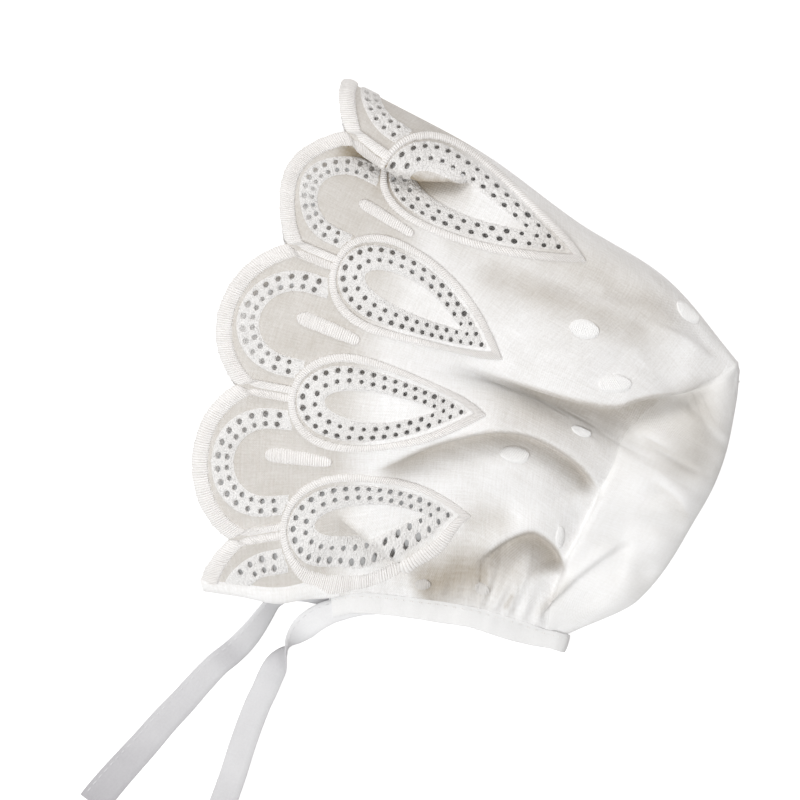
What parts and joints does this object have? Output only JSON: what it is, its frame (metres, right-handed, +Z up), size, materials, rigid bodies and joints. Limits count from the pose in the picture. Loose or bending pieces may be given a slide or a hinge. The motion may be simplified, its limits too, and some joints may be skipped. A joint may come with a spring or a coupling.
{
  "type": "baby bonnet",
  "caption": "White cotton baby's sun bonnet with an eyelet-embroidered scalloped front border, a folded horseshoe back and tape ties, laid flat on its side.",
  "frame": {"origin": "middle of the bonnet's footprint without its ties, on the surface it lies on", "axes": "+Z up, +X from the face opening to the back of the head, +Y from the neck to the top of the head"},
  "size_m": [0.1743, 0.2541, 0.0395],
  "materials": {
    "batiste": "fine plain-weave white cotton, slightly sheer",
    "embroidery": "white cotton with satin-stitched borders and rows of stitched eyelets",
    "back_cloth": "double layer of plain white cotton, softly creased",
    "tape": "folded white cotton tape with one row of stitching"
  },
  "bodies": {
    "root": {"crown_panel": "batiste", "brim": "embroidery", "back_panel": "back_cloth", "neck_binding": "tape", "leaf_left_1": "embroidery", "leaf_left_2": "embroidery", "leaf_left_3": "embroidery", "leaf_left_4": "embroidery", "leaf_right_1": "embroidery", "leaf_right_2": "embroidery", "leaf_right_3": "embroidery", "leaf_right_4": "embroidery", "tie_left": "tape", "tie_right": "tape"}
  },
  "joints": []
}
